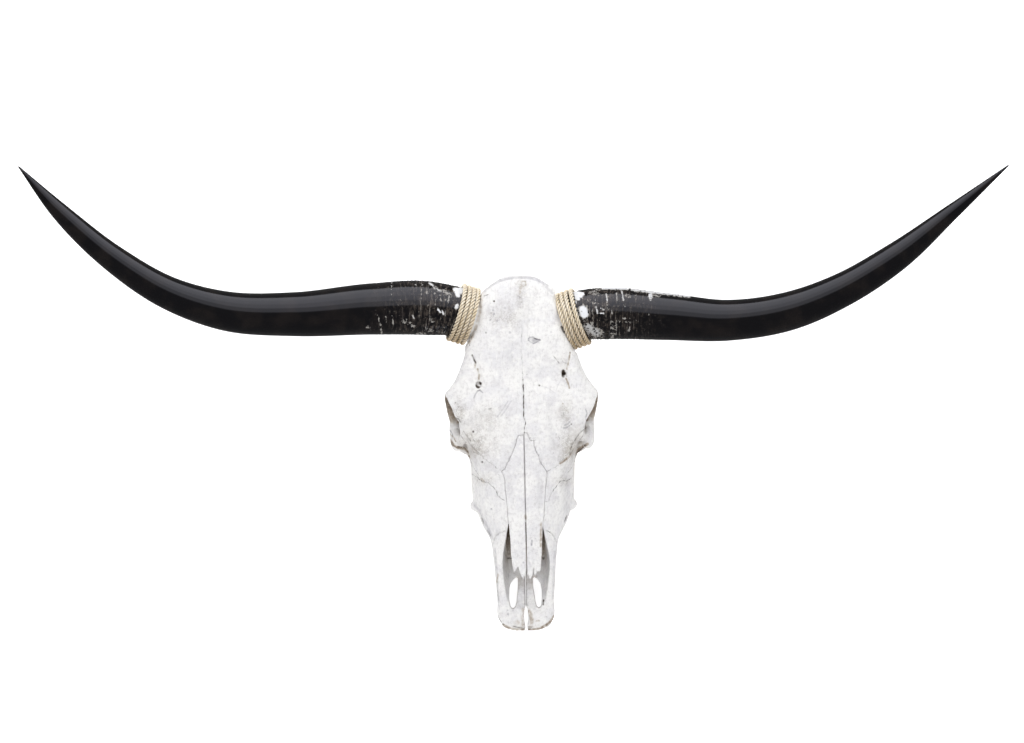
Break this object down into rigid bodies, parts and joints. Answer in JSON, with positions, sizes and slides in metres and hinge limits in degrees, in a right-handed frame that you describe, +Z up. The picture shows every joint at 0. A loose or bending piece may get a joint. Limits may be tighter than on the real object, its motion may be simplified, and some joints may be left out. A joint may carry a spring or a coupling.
{
  "type": "longhorn steer skull",
  "caption": "Long-horned steer skull without its lower jaw: broad face, open nose, round eye sockets, upper cheek teeth, wide black horns with rope-bound bases.",
  "frame": {"origin": "centre of the bounding box on the floor plane that the cheek teeth stand on", "axes": "+X towards the skull's right-hand horn in the picture, +Y from the muzzle towards the back of the head, +Z up"},
  "size_m": [1.4373, 0.6292, 0.3428],
  "materials": {
    "bone": "matt, sun-bleached",
    "horn": "polished",
    "rope": "twisted, matt"
  },
  "bodies": {
    "root": {"cranium": "bone", "nasal_left": "bone", "nasal_right": "bone", "incisive_left": "bone", "incisive_right": "bone", "horn_left": "horn", "horn_right": "horn", "rope_left": "rope", "rope_right": "rope"}
  },
  "joints": []
}
